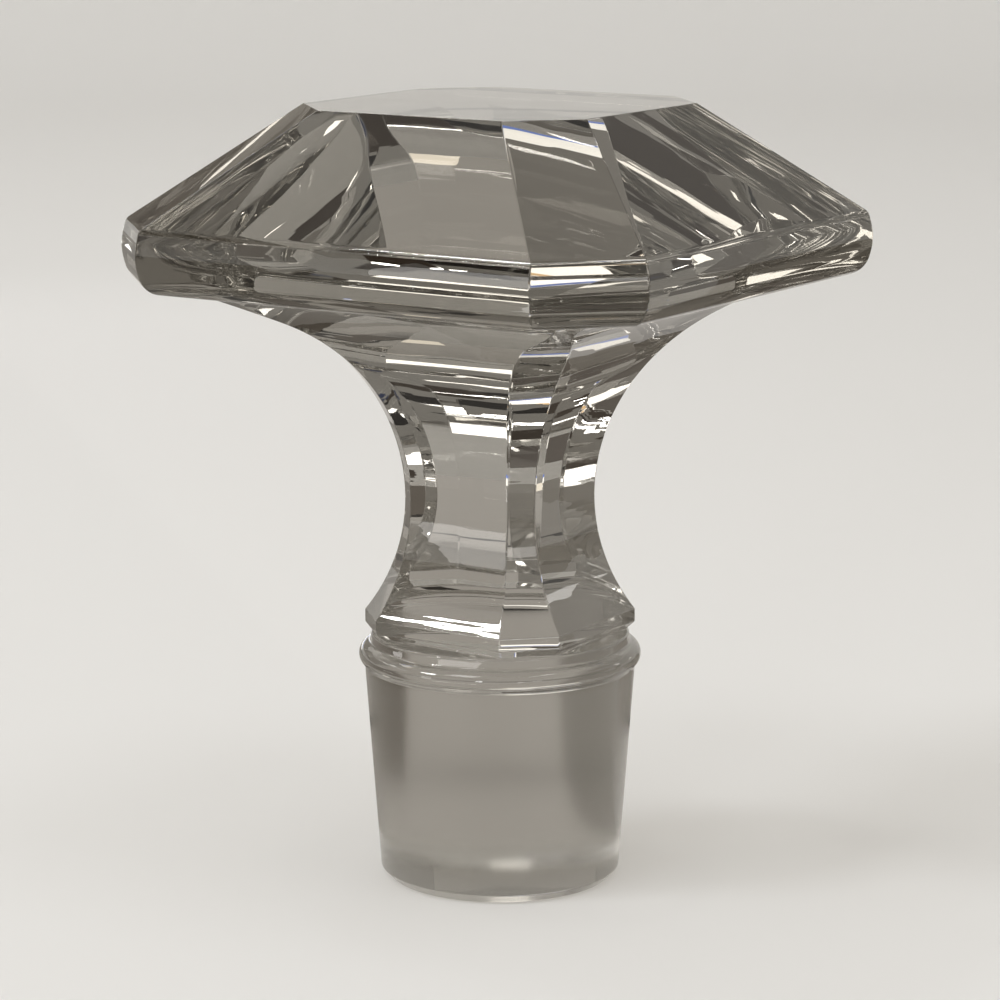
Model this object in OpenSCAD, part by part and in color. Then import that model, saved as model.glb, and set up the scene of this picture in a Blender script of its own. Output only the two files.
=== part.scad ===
// Cut glass decanter stopper: a square head with cut corners, a scooped
// neck, a flared foot, a round collar and a ground tapered plug, all one
// piece of glass. It stands on the flat end of its plug, +Z up the axis,
// with the wide flats of the head square to X and Y.

/* [Plug] */
// Diameter of the plug at its flat end, where the bevel starts
plug_end_d = 20.4; // [19:0.1:21.5]
// Diameter of the plug where it meets the collar
plug_top_d = 23; // [22:0.1:23.6]
// Length of the ground plug, up to the collar
plug_len = 18.4; // [14:0.2:24]
// Width of the polished bevel round the end of the plug
plug_bevel = 0.8; // [0.3:0.1:1.5]

/* [Collar] */
// Diameter over the round collar that rests on the decanter's lip
collar_d = 24; // [23.8:0.1:26]
// Height of the collar's rounded bead
collar_h = 2; // [1.4:0.1:2.6]
// Height of the groove between the collar and the foot
groove_h = 0.9; // [0.4:0.1:1.6]
// Depth of that groove, in from the widest part of the collar
groove_depth = 1; // [0.5:0.1:1.6]

/* [Foot] */
// Height of the bevel under the foot
foot_bevel_h = 0.7; // [0.3:0.1:1.2]
// Height of the upright band round the foot
foot_band_h = 1.1; // [0.6:0.1:2]
// Height from the foot's band to the narrowest part of the neck
flare_h = 9.8; // [9:0.1:12]
// Radius of the scoops that flare out from the neck to the foot
flare_r = 16.4; // [14:0.2:20]

/* [Neck] */
// Width of the neck across its wide flats
neck_flats = 12.9; // [11.5:0.1:13.2]
// Width of the neck across its cut corners
neck_corners = 15.9; // [14.4:0.1:16.4]
// Height from the narrowest part of the neck to the underside of the head
scoop_h = 18.4; // [14:0.1:19]
// Radius of the scoops between the neck's wide flats and the head
flat_scoop_r = 19.2; // [18:0.1:21]
// Radius of the scoops between the neck's cut corners and the head
corner_scoop_r = 16.6; // [15:0.1:18]
// Slope of the underside at the wide flats, from where their scoops run out
flat_rise = 0; // [0:1:8]
// Slope of the underside at the cut corners, from where their scoops run out
corner_rise = 20; // [18:1:30]

/* [Head] */
// Width of the head across its wide flats, at its widest
head_flats = 50.8; // [46:0.2:54]
// Width of the head across its cut corners, at its widest
head_corners = 62.4; // [58:0.2:64]
// Height of the lower edge band, which draws in towards the underside
skirt_h = 3.2; // [2:0.1:5]
// How far the lower edge band draws in on each side
skirt_in = 0.8; // [0.3:0.1:1.5]
// Height of the narrow edge band under the crown
girdle_h = 2.2; // [1:0.1:3.5]
// How far the narrow edge band draws in on each side
girdle_in = 0.5; // [0.2:0.1:1]
// Height of the sloping crown
crown_h = 9.3; // [7:0.1:14]
// Width of the flat table on top, across its wide flats
table_flats = 27.4; // [24:0.2:30]
// Width of the flat table on top, across its cut corners
table_corners = 31.8; // [30:0.2:33]

/* [Hidden] */
$fn = 96;
// Angle between one wide face and the next
side_turn = 90;
groove_z = plug_len + collar_h;
foot_z = groove_z + groove_h;
band_z = foot_z + foot_bevel_h;
rim_z = band_z + foot_band_h;
neck_z = rim_z + flare_h;
under_z = neck_z + scoop_h;
wide_z = under_z + skirt_h;
crown_z = wide_z + girdle_h;
table_z = crown_z + crown_h;
groove_r = collar_d / 2 - groove_depth;
bead_r = collar_h / 2;
bead_z = plug_len + bead_r;
// The faces are cut on blanks that reach this far to either side
reach = head_corners;

// Distance from the axis of a scoop of radius r, at dz from the neck's height
function scoop_u(neck_u, r, dz) = neck_u + r - sqrt(r * r - dz * dz);

// What one scoop takes away between two heights: a disc that touches the neck
// at its narrowest, and all that lies beyond it under a line that leaves the
// disc smoothly and climbs at the rise
module scoop(neck_u, r, rise, low_z, high_z) {
    disc_u = neck_u + r;
    leave_u = disc_u - r * sin(rise);
    leave_z = neck_z + r * cos(rise);
    intersection() {
        union() {
            translate([disc_u, neck_z]) circle(r = r);
            polygon([
                [leave_u, leave_z],
                [disc_u, neck_z],
                [disc_u, neck_z - r],
                [leave_u + reach, neck_z - r],
                [leave_u + reach, leave_z + reach * tan(rise)]
            ]);
        }
        translate([0, low_z]) square([reach, high_z - low_z]);
    }
}

// Outline of one cut face seen edge on: x is its distance from the axis, y its
// height. The blank is stepped at the neck's height, and the scoops shape the
// neck, the top of the foot's band and the underside of the head
module face_outline(table_w, head_w, neck_w, scoop_r, rise) {
    neck_u = neck_w / 2;
    head_u = head_w / 2;
    rim_u = scoop_u(neck_u, flare_r, flare_h);
    difference() {
        polygon([
            [0, foot_z],
            [rim_u - foot_bevel_h, foot_z],
            [rim_u, band_z],
            [rim_u, neck_z],
            [head_u - skirt_in, neck_z],
            [head_u - skirt_in, under_z],
            [head_u, wide_z],
            [head_u - girdle_in, crown_z],
            [table_w / 2, table_z],
            [0, table_z]
        ]);
        scoop(neck_u, scoop_r, rise, neck_z, under_z);
        scoop(neck_u, flare_r, rise, foot_z, neck_z);
    }
}

// Two opposite cut faces: the outline and its mirror image, carried straight
// across the axis so that every scoop is part of a true cylinder
module face_pair(table_w, head_w, neck_w, scoop_r, rise) {
    rotate([90, 0, 0]) linear_extrude(height = 2 * reach, center = true) union() {
        face_outline(table_w, head_w, neck_w, scoop_r, rise);
        mirror([1, 0]) face_outline(table_w, head_w, neck_w, scoop_r, rise);
    }
}

// Head, neck and foot: what is left inside four wide faces and four corner faces
module cut_body() {
    intersection() {
        face_pair(table_flats, head_flats, neck_flats, flat_scoop_r, flat_rise);
        rotate([0, 0, side_turn])
            face_pair(table_flats, head_flats, neck_flats, flat_scoop_r, flat_rise);
        rotate([0, 0, side_turn / 2])
            face_pair(table_corners, head_corners, neck_corners, corner_scoop_r, corner_rise);
        rotate([0, 0, -side_turn / 2])
            face_pair(table_corners, head_corners, neck_corners, corner_scoop_r, corner_rise);
    }
}

// Plug and collar, turned round the axis: the bevelled end, the ground taper,
// which runs up into the rounded bead, and the groove's core, which runs up
// into the foot
module turned_plug() {
    bevel_r = plug_end_d / 2;
    rotate_extrude() union() {
        polygon([
            [0, 0],
            [bevel_r - plug_bevel, 0],
            [bevel_r, plug_bevel],
            [plug_top_d / 2, plug_len],
            [plug_top_d / 2, bead_z],
            [collar_d / 2 - bead_r, bead_z],
            [collar_d / 2 - bead_r, groove_z],
            [groove_r, groove_z],
            [groove_r, foot_z],
            [neck_flats / 2, band_z],
            [0, band_z]
        ]);
        translate([collar_d / 2 - bead_r, bead_z]) circle(r = bead_r);
    }
}

module stopper() {
    color([0.80, 0.79, 0.76, 0.45]) union() {
        cut_body();
        turned_plug();
    }
}

stopper();
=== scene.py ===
"""A cut glass decanter stopper, standing on the flat end of its ground plug."""

from math import cos, pi, radians, sin, tan

import bmesh
import bpy
import numpy as np
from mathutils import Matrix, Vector


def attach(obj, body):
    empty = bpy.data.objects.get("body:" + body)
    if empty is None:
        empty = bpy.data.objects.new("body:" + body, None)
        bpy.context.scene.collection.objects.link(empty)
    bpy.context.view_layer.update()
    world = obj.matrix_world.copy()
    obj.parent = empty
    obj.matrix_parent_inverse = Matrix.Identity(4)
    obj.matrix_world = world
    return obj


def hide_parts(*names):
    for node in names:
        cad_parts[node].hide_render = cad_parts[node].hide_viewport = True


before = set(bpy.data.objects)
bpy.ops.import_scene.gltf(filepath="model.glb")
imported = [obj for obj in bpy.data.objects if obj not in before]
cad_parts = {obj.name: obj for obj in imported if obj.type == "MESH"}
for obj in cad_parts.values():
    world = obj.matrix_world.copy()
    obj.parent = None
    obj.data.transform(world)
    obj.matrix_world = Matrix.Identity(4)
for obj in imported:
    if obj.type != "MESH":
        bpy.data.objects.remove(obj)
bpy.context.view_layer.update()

# Stopper -----------------------------------------------------------------
# One solid piece of clear glass: a square head with cut corners, a neck cut in
# with eight scoops, a flared foot, a collar and a round plug. It is made as a
# thick blank, cut and polished on wheels, and its plug is ground to its bottle.

MM = 0.001
sides = 8
side_turn = 2 * pi / sides

# Heights of the edges up the axis; distances from the axis to the wide faces and
# to the corner faces, which take turns round the body; how far the narrow cuts
# draw in; and the radii of the flare and of the scoops
foot_z, band_z, rim_z, neck_z = 21.3 * MM, 22.0 * MM, 23.1 * MM, 32.9 * MM
under_z, wide_z, crown_z, table_z = 51.3 * MM, 54.5 * MM, 56.7 * MM, 66.0 * MM
neck_u = np.array([12.9, 15.9]) / 2 * MM
widest_u = np.array([50.8, 62.4]) / 2 * MM
table_u = np.array([27.4, 31.8]) / 2 * MM
foot_bevel, skirt_in, girdle_in = 0.7 * MM, 0.8 * MM, 0.5 * MM
flare_r = 16.4 * MM
scoop_r = np.array([19.2, 16.6]) * MM
corner_rise = radians(20)  # slope at which the corner scoops run out

# Round parts: the tapered plug, the collar's bead and the groove's core
plug_end_r, plug_bevel = 10.2 * MM, 0.8 * MM
plug_top_r, plug_top_z = 11.5 * MM, 18.4 * MM
bead_c, bead_z, bead_r = 11.0 * MM, 19.4 * MM, 1.0 * MM
groove_r = 11.0 * MM

# Polishing has rounded each cut edge a little, and handling has rounded the
# lower edges of the head and the edge of its crown more
arris = 0.24 * MM
low_edge_r, side_edge_r, crown_edge_r = 2.2 * MM, 5 * MM, 1 * MM

# The mesh: steps round each cut edge and across each face, which make up one
# sector, how close rows and points stand to an edge, and the least turn between
# two cuts that is rounded
arris_steps, face_steps = 4, 12
sector = arris_steps + face_steps
columns = sides * sector
near_edge = 0.05 * MM
least_turn = radians(8)


def straight_cut(start, end, rows=3):
    """Rows up a straight cut between two edges: heights and distances in even
    steps, with a row close to each edge, and in every row the slope, which is
    the angle above level of the way that the cut faces."""
    (z0, u0), (z1, u1) = start, end
    near = near_edge / max(abs(z1 - z0), abs(u1 - u0).max())
    f = np.unique(np.concatenate([[near, 1 - near], np.linspace(0, 1, rows)]))[:, None]
    slope = np.arctan2(u0 - u1, np.full(len(u0), z1 - z0))
    return z0 + f[:, 0] * (z1 - z0), u0 + f * (u1 - u0), np.repeat(slope[None], len(f), 0)


def inner_edge(z, u, below, above):
    """Where two cuts meet once both are moved in by the rounding: along the
    line that halves their angle, by the rounding over the cosine of half that
    angle. Wide and corner faces share the mean height."""
    in_u = np.cos(below) + np.cos(above)
    in_z = np.sin(below) + np.sin(above)
    grow = arris / (1 + np.cos(below - above))
    return z - (grow * in_z).mean(), u - grow * in_u


def soft_edge(z, u, below, above, radius, rows=10):
    """Rows round an outer edge of a larger radius: the centre lies in from the
    edge as an inner edge does, and each row is the rest of the radius out from
    it, at a slope that turns evenly from one cut to the other."""
    rest = radius - arris
    share = rest / arris
    z0, u0 = inner_edge(z, u, below, above)
    centre_z, centre_u = z0 + share * (z0 - z), u0 + share * (u0 - u)
    s = below + np.linspace(0, 1, rows)[:, None] * (above - below)
    return centre_z + rest * np.sin(s).mean(1), centre_u + rest * np.cos(s), s


def joined(parts):
    """All rows in order up the axis. Where one cut meets the next at an outer
    edge, extra rows stay at the edge and turn from one slope to the other."""
    rows = parts[:1]
    for part in parts[1:]:
        before, after = rows[-1][2][-1], part[2][0]
        if (after - before).min() > least_turn:
            t = np.linspace(0, 1, arris_steps + 1)[1:-1, None]
            edge = [np.repeat(a[:1], len(t), 0) for a in part[:2]]
            rows.append((*edge, before + t * (after - before)))
        rows.append(part)
    return [np.concatenate(c) for c in zip(*rows)]


def scooped(angle, r):
    """Rows on circles that touch the neck at its narrowest, with radii r grown
    by the rounding: the height rises with the sine of the angle at the wide
    face's circle, and each face lies as far out as its own circle does there.
    Rows above the top of a circle lie as far out as its centre."""
    grown = r + arris
    z = neck_z + grown[0] * np.sin(angle)
    across = np.clip((z - neck_z)[:, None] / grown, -1, 1)
    return z, neck_u + r - grown * np.sqrt(1 - across**2), -np.arcsin(across)


def edge_at(rows, i):
    """The height and the distances of one row, as the end of a straight cut."""
    return rows[0][i], rows[1][i]


def cut_rows(flare_rows=24, scoop_rows=52, bevel_rows=10, bevel_start=0.06 * MM):
    """Rows of the cut body, from the bevel under the foot to the middle of the
    table: the heights, the distances to the wide and the corner faces, and
    the slopes of both, all moved in by the rounding. The bevel starts a little
    way up, and the ledge under the foot closes the gap."""
    upright, level, hanging = np.zeros(2), np.full(2, pi / 2), np.full(2, -pi / 2)
    bevel = np.full(2, -pi / 4)
    skirt = np.full(2, -np.arctan2(skirt_in, wide_z - under_z))
    girdle = np.full(2, np.arctan2(girdle_in, crown_z - wide_z))
    crown = np.arctan2(widest_u - girdle_in - table_u, table_z - crown_z)

    # All faces of the foot flare on one radius, down to the rim of its band
    rim_angle = np.arcsin((neck_z - rim_z) / flare_r)
    rim_u = neck_u + flare_r * (1 - np.cos(rim_angle))
    rim = inner_edge(rim_z, rim_u, upright, np.full(2, rim_angle))
    low_angle = np.arcsin((rim[0] - neck_z) / (flare_r + arris))
    flare = scooped(np.linspace(low_angle, 0, flare_rows), np.full(2, flare_r))

    # Each corner scoop leaves its circle for a straight line at the rise. The
    # last row turns half way to the level underside
    top_z = under_z + arris
    top_angle = np.arcsin((top_z - neck_z) / (scoop_r[0] + arris))
    z, u, slope = scooped(np.linspace(0, top_angle, scoop_rows)[1:], scoop_r)
    grown = scoop_r[1] + arris
    past = z > neck_z + grown * cos(corner_rise)
    run = (z[past] - neck_z - grown * cos(corner_rise)) / tan(corner_rise)
    u[past, 1] = neck_u[1] + scoop_r[1] - grown * sin(corner_rise) + run
    slope[past, 1] = corner_rise - pi / 2
    slope[-1] = (slope[-1] - pi / 2) / 2

    bevel_low = inner_edge(foot_z + bevel_start, rim_u - foot_bevel + bevel_start, bevel, bevel)
    bevel_high = inner_edge(band_z, rim_u, bevel, upright)
    low_edge = soft_edge(under_z, widest_u - skirt_in, hanging, skirt, low_edge_r)
    side_edge = soft_edge(wide_z, widest_u, skirt, girdle, side_edge_r)
    crown_edge = soft_edge(crown_z, widest_u - girdle_in, girdle, crown, crown_edge_r, rows=9)
    table_edge = inner_edge(table_z, table_u, crown, level)
    under = straight_cut((top_z, u[-1]), edge_at(low_edge, 0))
    return joined([
        straight_cut(bevel_low, bevel_high, bevel_rows),
        straight_cut(bevel_high, rim),
        flare,
        (z, u, slope),
        [a[1:] for a in under],
        low_edge,
        straight_cut(edge_at(low_edge, -1), edge_at(side_edge, 0)),
        side_edge,
        straight_cut(edge_at(side_edge, -1), edge_at(crown_edge, 0)),
        crown_edge,
        straight_cut(edge_at(crown_edge, -1), table_edge),
        straight_cut(table_edge, (table_z - arris, np.zeros(2))),
    ])


def turned_rows(taper_rows=24, bead_rows=26, bead_span=(-52, 76), wall_rows=6, wall_start=0.12 * MM):
    """Rows of the round parts, from the middle of the plug's end to the ledge
    under the foot, with one distance from the axis in each. The bead is part
    of a circle, from one angle to another, in degrees above level, and the
    wall of the groove starts a little above it."""
    taper = np.array([-np.arctan2(plug_top_r - plug_end_r, plug_top_z - plug_bevel)])
    ledge = np.array([np.arctan2(groove_r - neck_u[0], band_z - foot_z)])
    hanging, bevel, upright = np.array([-pi / 2]), np.array([-pi / 4]), np.zeros(1)
    middle = (arris, np.zeros(1))
    end_edge = inner_edge(0, np.array([plug_end_r - plug_bevel]), hanging, bevel)
    taper_low = inner_edge(plug_bevel, np.array([plug_end_r]), bevel, taper)
    taper_high = inner_edge(plug_top_z, np.array([plug_top_r]), taper, taper)
    a = np.radians(np.linspace(*bead_span, bead_rows))[:, None]
    small = bead_r - arris
    wall_low = (bead_z + bead_r + wall_start, np.array([groove_r - arris]))
    wall_high = inner_edge(foot_z, np.array([groove_r]), upright, ledge)
    return joined([
        straight_cut(middle, end_edge),
        straight_cut(end_edge, taper_low),
        straight_cut(taper_low, taper_high, taper_rows),
        (bead_z + small * np.sin(a[:, 0]), bead_c + small * np.cos(a), a),
        straight_cut(wall_low, wall_high, wall_rows),
        (wall_high[0][None], wall_high[1][None], ledge[None]),
    ])


def cut_rings(z, u, slope):
    """Points of the cut body's rows. A wide face and a corner face meet at an
    upright edge, where the straight lines at their distances cross, moved out
    by the rounding along a direction that turns from square to one face to
    square to the other. Each face is spread evenly from one edge to the next,
    with a point close to each edge."""
    turn = np.arange(sides) * side_turn
    kind = np.arange(sides) % 2
    d0, d1 = u[:, kind], u[:, 1 - kind]
    aside = (d1 - d0 * cos(side_turn)) / sin(side_turn)
    edge = np.stack([
        d0 * np.cos(turn) - aside * np.sin(turn),
        d0 * np.sin(turn) + aside * np.cos(turn),
        np.repeat(z[:, None], sides, 1),
    ], -1)

    def square_to(face, angle):
        s = slope[:, face]
        return np.stack([np.cos(s) * np.cos(angle), np.cos(s) * np.sin(angle), np.sin(s)], -1)

    t = np.linspace(0, 1, arris_steps + 1)[:, None]
    n = square_to(kind, turn)[:, :, None] * (1 - t)
    n = n + square_to(1 - kind, turn + side_turn)[:, :, None] * t
    rounded = edge[:, :, None] + arris * n / np.linalg.norm(n, axis=-1, keepdims=True)

    # At the middle of the table the faces have no width, where any share does
    start, end = rounded[:, :, -1], np.roll(rounded[:, :, 0], -1, 1)
    width = np.maximum(np.linalg.norm(end - start, axis=-1), 1e-9)[:, :, None]
    f = np.linspace(0, 1, face_steps + 1)[1:-1] + 0 * width
    near = np.minimum(near_edge / width, 0.5 / face_steps)
    f = np.concatenate([near, f[:, :, 1:-1], 1 - near], 2)[..., None]
    face = start[:, :, None] * (1 - f) + end[:, :, None] * f
    return np.concatenate([rounded, face], 2).reshape(len(z), columns, 3)


def stopper_rings(soft=0.04 * MM, bevel_share=0.98):
    """Points of all rows. The round rows lie on even angles, and turn into the
    angles of the foot's columns up the wall of the groove. The bevel under the
    foot runs out in the ledge: up to a share of its height, each point lies as
    far out as the further of the two, with a smooth change of a soft width
    from one to the other."""
    body = cut_rings(*cut_rows())
    x, y, z = body[..., 0], body[..., 1], body[..., 2]
    far = np.hypot(x, y)
    share = (z - foot_z) / (band_z - foot_z)
    cone = groove_r + (neck_u[0] - groove_r) * share
    swell = 1 + soft * np.logaddexp(0, (cone - far) / soft) / np.maximum(far, soft)
    body[..., :2] *= np.where(share < bevel_share, swell, 1)[..., None]

    h, r, slope = turned_rows()
    even = (np.arange(columns) - arris_steps / 2) * 2 * pi / columns + side_turn / 2
    foot = np.arctan2(body[0, :, 1], body[0, :, 0])
    apart = (foot - even + pi) % (2 * pi) - pi
    w = np.clip((h - bead_z - bead_r) / (foot_z - bead_z - bead_r), 0, 1)[:, None]
    angle = even + w * apart
    out = r + arris * np.cos(slope)
    up = np.repeat(h[:, None] + arris * np.sin(slope), columns, 1)
    turned = np.stack([out * np.cos(angle), out * np.sin(angle), up], -1)
    return np.concatenate([turned, body])


def closed_surface(name, rings):
    """A mesh of four-sided faces from row to row and column to column, the last
    column joined to the first, with a fan of triangles at each end, whose row
    is one point."""
    rows, cols = rings.shape[:2]
    points = np.concatenate([rings[:1, 0], rings[1:-1].reshape(-1, 3), rings[-1:, 0]])
    c = np.arange(cols)
    right = (c + 1) % cols
    r = 1 + cols * np.arange(rows - 3)[:, None]
    quads = np.stack([r + c, r + right, r + cols + right, r + cols + c], -1).reshape(-1, 4)
    top = 1 + cols * (rows - 3)
    low_point, high_point = np.zeros(cols, int), np.full(cols, top + cols)
    low_fan = np.stack([low_point, right + 1, c + 1], -1)
    high_fan = np.stack([high_point, top + c, top + right], -1)
    mesh = bpy.data.meshes.new(name)
    mesh.from_pydata(points.tolist(), [], quads.tolist() + low_fan.tolist() + high_fan.tolist())
    mesh.shade_smooth()
    piece = bpy.data.objects.new(name, mesh)
    bpy.context.collection.objects.link(piece)
    return piece


stopper = closed_surface("cut_glass_stopper", stopper_rings())

# Level parts have no upright edges, so the points of those edges meet there
same_point = 0.0005 * MM
merged = bmesh.new()
merged.from_mesh(stopper.data)
bmesh.ops.remove_doubles(merged, verts=merged.verts, dist=same_point)
merged.to_mesh(stopper.data)
merged.free()

# The polished glass: clear, with a slight grey-beige tint of its own, darkened further in its colour
# and its absorption as painted shade
glass = bpy.data.materials.new("cut_glass")
glass.use_nodes = True
nodes, link = glass.node_tree.nodes, glass.node_tree.links.new
nodes.clear()


def glass_node(kind, values=()):
    """Adds a node to the glass and sets its inputs, each by its name."""
    node = nodes.new(kind)
    for name, value in dict(values).items():
        node.inputs[name].default_value = value
    return node


# The base colour is the tint: the glass's own, deepened as painted shade
crystal = glass_node("ShaderNodeBsdfPrincipled", {
    "Base Color": (0.60, 0.585, 0.555, 1), "Transmission Weight": 1, "IOR": 1.53, "Roughness": 0,
})
place = glass_node("ShaderNodeTexCoord")
height = glass_node("ShaderNodeSeparateXYZ")
link(place.outputs["Object"], height.inputs[0])

# Below the collar the plug is ground, and scatters what shows through it
ground = glass_node("ShaderNodeMapRange", {
    "From Min": plug_top_z, "From Max": plug_top_z - 0.5 * MM, "To Max": 0.22,
})
link(height.outputs["Z"], ground.inputs["Value"])
link(ground.outputs[0], crystal.inputs["Roughness"])

# The wheels have left very gentle waves all over the polish
waves = glass_node("ShaderNodeTexNoise", {"Scale": 110, "Detail": 1})
link(place.outputs["Object"], waves.inputs["Vector"])

# The scoops keep the marks of their wheels, level ripples that fade out at the
# foot's rim and at the widest edge of the head
level = glass_node("ShaderNodeMapping", {"Scale": (40, 40, 650)})
link(place.outputs["Object"], level.inputs["Vector"])
ripples = glass_node("ShaderNodeTexNoise", {"Scale": 1, "Detail": 2})
link(level.outputs[0], ripples.inputs["Vector"])
neck = glass_node("ShaderNodeMapRange", {"From Min": wide_z, "From Max": under_z, "To Max": 0.8})
link(height.outputs["Z"], neck.inputs["Value"])
scoops = glass_node("ShaderNodeMapRange", {"From Min": rim_z, "From Max": neck_z})
link(height.outputs["Z"], scoops.inputs["Value"])
link(neck.outputs[0], scoops.inputs["To Max"])
marks = glass_node("ShaderNodeMath")
marks.operation = "MULTIPLY_ADD"
link(ripples.outputs["Fac"], marks.inputs[0])
link(scoops.outputs[0], marks.inputs[1])
link(waves.outputs["Fac"], marks.inputs[2])
bump = glass_node("ShaderNodeBump", {"Strength": 1, "Distance": 0.065 * MM})
link(marks.outputs[0], bump.inputs["Height"])
link(bump.outputs[0], crystal.inputs["Normal"])

# Absorption deepens the tint through thick glass: partly the glass's own, partly painted shade
tint_and_shade_absorption = glass_node("ShaderNodeVolumeAbsorption", {"Color": (0.30, 0.27, 0.20, 1), "Density": 15})

# Light from the lamps passes straight through, so the floor keeps a pale shadow
rays = glass_node("ShaderNodeLightPath")
soft_rays = glass_node("ShaderNodeMath")
soft_rays.operation = "MAXIMUM"
link(rays.outputs["Is Shadow Ray"], soft_rays.inputs[0])
link(rays.outputs["Is Diffuse Ray"], soft_rays.inputs[1])
through = glass_node("ShaderNodeBsdfTransparent", {"Color": (0.80, 0.79, 0.775, 1)})
both = glass_node("ShaderNodeMixShader")
link(soft_rays.outputs[0], both.inputs[0])
link(crystal.outputs[0], both.inputs[1])
link(through.outputs[0], both.inputs[2])
finish = glass_node("ShaderNodeOutputMaterial")
link(both.outputs[0], finish.inputs["Surface"])
link(tint_and_shade_absorption.outputs[0], finish.inputs["Volume"])

stopper.data.materials.append(glass)
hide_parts("stopper")
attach(stopper, "root")

# Floor -------------------------------------------------------------------
# A plain pale studio floor that bends up into a low wall all round. It isn't
# part of the stopper.

middle_r, floor_r, bend_r, wall_z = 0.3, 0.75, 0.35, 0.62


def cove_rings(cols=96, rows=24):
    """The floor's profile, flat, then a quarter circle, then upright, turned
    round the axis: each row's distance goes round by the cosine and the sine
    of every angle, at the row's height."""
    a = np.linspace(0, pi / 2, rows)
    r = np.concatenate([[0, middle_r], floor_r + bend_r * np.sin(a), [floor_r + bend_r]])
    z = np.concatenate([[0, 0], bend_r * (1 - np.cos(a)), [wall_z]])
    angle = np.arange(cols) * 2 * pi / cols
    return np.stack([
        np.outer(r, np.cos(angle)), np.outer(r, np.sin(angle)), np.repeat(z[:, None], cols, 1)
    ], -1)


def open_surface(name, rings):
    """A mesh of four-sided faces between neighbouring rows and columns, the
    last column joined to the first."""
    rows, cols = rings.shape[:2]
    c = np.arange(cols)
    r = cols * np.arange(rows - 1)[:, None]
    right = (c + 1) % cols
    quads = np.stack([r + c, r + right, r + cols + right, r + cols + c], -1)
    mesh = bpy.data.meshes.new(name)
    mesh.from_pydata(rings.reshape(-1, 3).tolist(), [], quads.reshape(-1, 4).tolist())
    mesh.shade_smooth()
    piece = bpy.data.objects.new(name, mesh)
    bpy.context.collection.objects.link(piece)
    return piece


floor = open_surface("floor", cove_rings())
paper = bpy.data.materials.new("pale_paper")
paper.use_nodes = True
matt = paper.node_tree.nodes["Principled BSDF"].inputs
matt["Base Color"].default_value = (0.78, 0.772, 0.755, 1)
matt["Roughness"].default_value = 0.8
matt["Specular IOR Level"].default_value = 0.2
floor.data.materials.append(paper)

# Light and camera --------------------------------------------------------
# Soft boxes high up and two lower windows, in a grey room. The cards all round
# glow at their own shade though they are no lamps, and only the glass shows them:
# painted light and shade, dark ones for the cuts' dark lines, white ones for glints.

view_from = Vector((0.16084, -0.25265, 0.09176))
middle = Vector((0, 0, 0.0325))
ahead = Vector((-view_from.x, -view_from.y, 0)).normalized()
rightward = Vector((ahead.y, -ahead.x, 0))


def placed(piece, azimuth, elevation, distance):
    """Puts a lamp or card at a distance from the middle of the stopper, at an
    angle to the right of the camera's heading and an angle above level, so
    that it faces the stopper."""
    a, e = radians(azimuth), radians(elevation)
    out = ahead * cos(a) * cos(e) + rightward * sin(a) * cos(e) + Vector((0, 0, sin(e)))
    piece.location = middle + out * distance
    piece.rotation_euler = out.to_track_quat("Z", "Y").to_euler()


def soft_box(name, azimuth, elevation, width, height, watts, distance=1.4):
    """An area lamp of a width and a height in metres."""
    light = bpy.data.lights.new(name, "AREA")
    light.shape, light.size, light.size_y, light.energy = "RECTANGLE", width, height, watts
    lamp = bpy.data.objects.new(name, light)
    lamp.visible_camera = False
    bpy.context.collection.objects.link(lamp)
    placed(lamp, azimuth, elevation, distance)


def show_in_glass(name, points, faces, shade):
    """A card that gives off its own shade, for the glass to show: the camera
    doesn't see it straight, it casts no shadow, and it gives matt surfaces no
    light."""
    mesh = bpy.data.meshes.new(name)
    mesh.from_pydata(points, [], faces)
    face = bpy.data.materials.new(name)
    face.use_nodes = True
    shader = face.node_tree.nodes["Principled BSDF"].inputs
    shader["Base Color"].default_value = (0, 0, 0, 1)
    shader["Specular IOR Level"].default_value = 0
    shader["Emission Color"].default_value = (*shade, 1)
    shader["Emission Strength"].default_value = 1
    mesh.materials.append(face)
    flat = bpy.data.objects.new(name, mesh)
    flat.visible_camera = flat.visible_diffuse = flat.visible_shadow = False
    bpy.context.collection.objects.link(flat)
    return flat


def card(name, azimuth, elevation, across, up, shade, distance=1.0):
    """A flat card that faces the stopper. The angles that it spans across and
    up give its width and height: twice the distance times the tangent of half
    the angle."""
    x, y = distance * tan(radians(across) / 2), distance * tan(radians(up) / 2)
    corners = [(-x, -y, 0), (x, -y, 0), (x, y, 0), (-x, y, 0)]
    placed(show_in_glass(name, corners, [(0, 1, 2, 3)], shade), azimuth, elevation, distance)


soft_box("soft_box_left", -135, 57, 0.50, 0.40, 3.4)
soft_box("soft_box_right", 130, 66, 0.50, 0.50, 3.0)
soft_box("soft_box_back", -61, 70, 0.15, 0.10, 1.2)
soft_box("window", -108, 41, 0.32, 0.07, 4.6, 1.3)
soft_box("small_window", -163, 14, 0.10, 0.16, 0.7, 1.0)

# Shades of the cards, where 1 shows as plain white
black, near_black, dark_blue = (0.02, 0.018, 0.017), (0.04, 0.036, 0.033), (0.04, 0.06, 0.15)
brown, pale_brown, warm_grey = (0.07, 0.053, 0.040), (0.16, 0.14, 0.12), (0.19, 0.165, 0.14)
dark_grey, mid_grey, grey = (0.18, 0.16, 0.145), (0.22, 0.20, 0.18), (0.34, 0.32, 0.29)
pale, cream, soft_white = (0.64, 0.61, 0.57), (2.0, 1.85, 1.6), (2.6, 2.55, 2.45)
white, blue, orange = (4.0, 3.9, 3.75), (0.4, 0.6, 1.5), (2.2, 1.5, 0.8)

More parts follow.
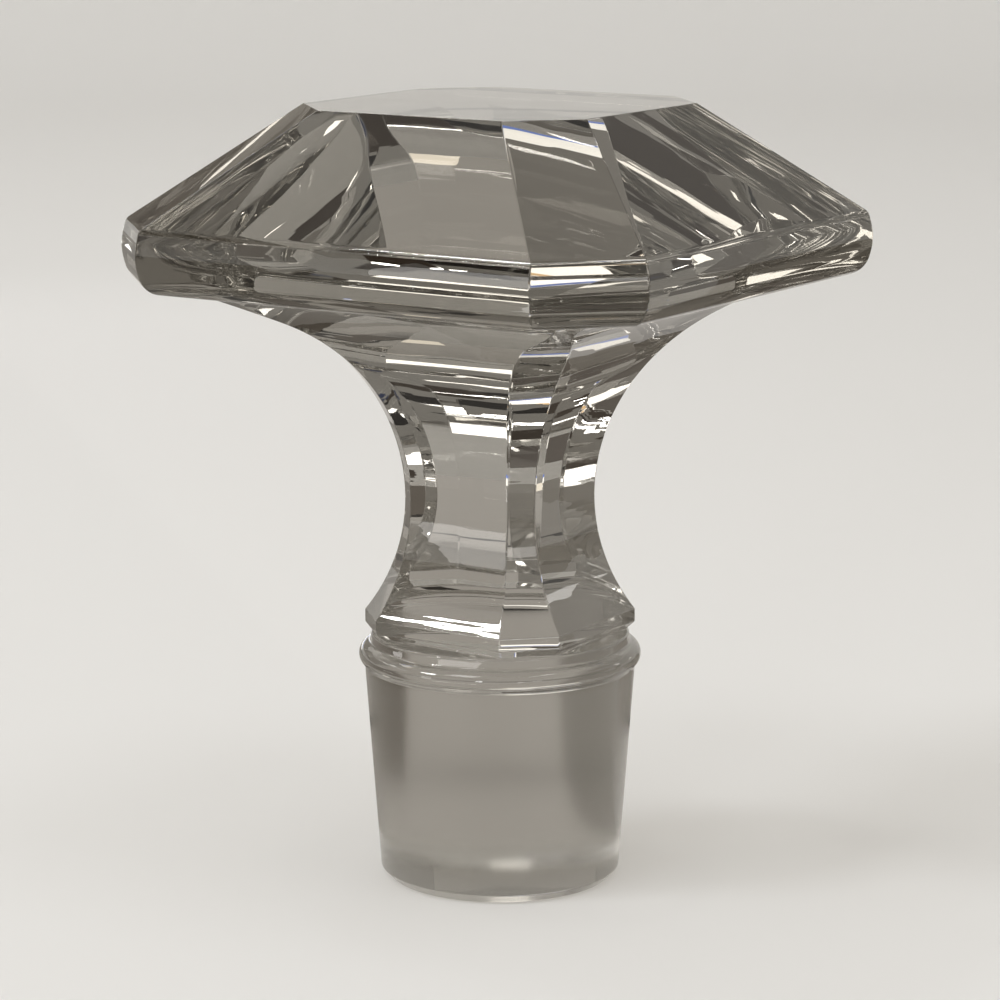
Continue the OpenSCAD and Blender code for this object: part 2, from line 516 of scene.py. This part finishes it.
card("brown_low_left", -112, 25, 32, 18, brown, 0.84)
card("white_side", -119, 6, 9, 16, white, 0.82)
card("brown_left", -86, 37, 26, 11, brown, 0.98)
card("black_high_left", -98, 58, 30, 9, black)
card("brown_top_left", -93, 72, 11, 8, brown)
card("brown_behind_left", -150, 38, 34, 10, brown)
card("brown_high_back", -42, 67, 16, 12, brown)
card("brown_high_right", 28, 58, 24, 14, brown)
card("blue_dark_right", 44, 46, 14, 8, dark_blue)
card("black_high_right", 112, 68, 50, 14, black)
card("black_right", 98, 40, 16, 10, black)
card("white_behind_right", 151, 10, 9, 6, white)
card("white_back_left", -70, 31, 10, 7, white)
card("white_high_back_left", -57, 47, 22, 6, white)
card("white_high_back", -25, 50, 14, 4, white)
card("white_back_corner", -62, 24, 9, 8, white)
card("orange_high_back_left", -70, 47, 3, 6, orange)
card("blue_high_back_left", -44, 47, 3, 6, blue)
card("white_back", -4, 21.5, 13, 8, white)
card("grey_back_left", -36, 14, 20, 16, dark_grey, 0.83)
card("white_low_back", -13, -1.5, 22, 4.5, soft_white, 0.42)
card("blue_low_back", -13, 1.3, 22, 1.4, blue, 0.42)
card("white_right", 47, 8.5, 6, 2.2, white, 0.85)
card("brown_right", 70, 3.5, 9, 9, brown, 0.8)
card("white_high_right", 66, 17, 5, 8, white)
card("white_behind", 163.5, 6.5, 7, 9, white, 0.8)
card("grey_right", 108, 6, 60, 26, grey, 0.95)
card("grey_left", -74, 13, 64, 22, mid_grey, 0.85)
card("brown_back", -17, 11, 16, 10, pale_brown, 0.84)


def floor_card(name, start, end, near, far, shade, height=1 * MM, steps=39):
    """A card that lies just above the floor: part of a ring, in even steps from
    one azimuth to another, and from one distance from the axis to another."""
    a = np.radians(np.linspace(start, end, steps + 1))[:, None, None]
    r = np.array([near, far])[:, None]
    points = (np.cos(a) * ahead + np.sin(a) * rightward) * r + [0, 0, height]
    faces = 2 * np.arange(steps)[:, None] + [0, 2, 3, 1]
    show_in_glass(name, points.reshape(-1, 3).tolist(), faces.tolist(), shade)


# Glowing floor cards that the glass sees in place of the lit floor: the grey one paints it darker,
# as painted shade, the pale one keeps it pale behind the stopper, and the others paint a dark ring,
# dark lines and glints
# Where floor cards overlap, they lie at different heights
floor_card("grey_floor_card", -16, -290, 0.016, 1.0, grey, 0.6 * MM)
floor_card("pale_floor_card", 70, -16, 0.016, 0.8, pale, 0.6 * MM)
floor_card("dark_floor_ring", 60, -60, 0.0455, 0.0495, near_black)
floor_card("brown_floor_card", 66, 29, 0.045, 0.45, warm_grey, 0.8 * MM)
floor_card("cream_floor_card", -0.6, -3.6, 0.39, 0.75, cream)
floor_card("white_floor_card_front", -127, -162, 0.088, 0.118, white)
floor_card("white_floor_card_left", -77, -88, 0.084, 0.102, white)

world = bpy.data.worlds.new("room")
bpy.context.scene.world = world
world.use_nodes = True
world.node_tree.nodes["Background"].inputs["Color"].default_value = (0.42, 0.405, 0.38, 1)
world.node_tree.nodes["Background"].inputs["Strength"].default_value = 1

camera = bpy.data.objects.new("camera", bpy.data.cameras.new("camera"))
camera.data.lens = 130
camera.data.clip_start = 0.01
camera.location = view_from
camera.rotation_euler = (middle - view_from).to_track_quat("-Z", "Y").to_euler()
bpy.context.collection.objects.link(camera)
bpy.context.scene.camera = camera

scene = bpy.context.scene
scene.view_settings.view_transform = "Standard"

# Light turns many times between the cuts before it leaves the glass
scene.cycles.max_bounces = 24
scene.cycles.transmission_bounces = 24
scene.cycles.glossy_bounces = 16
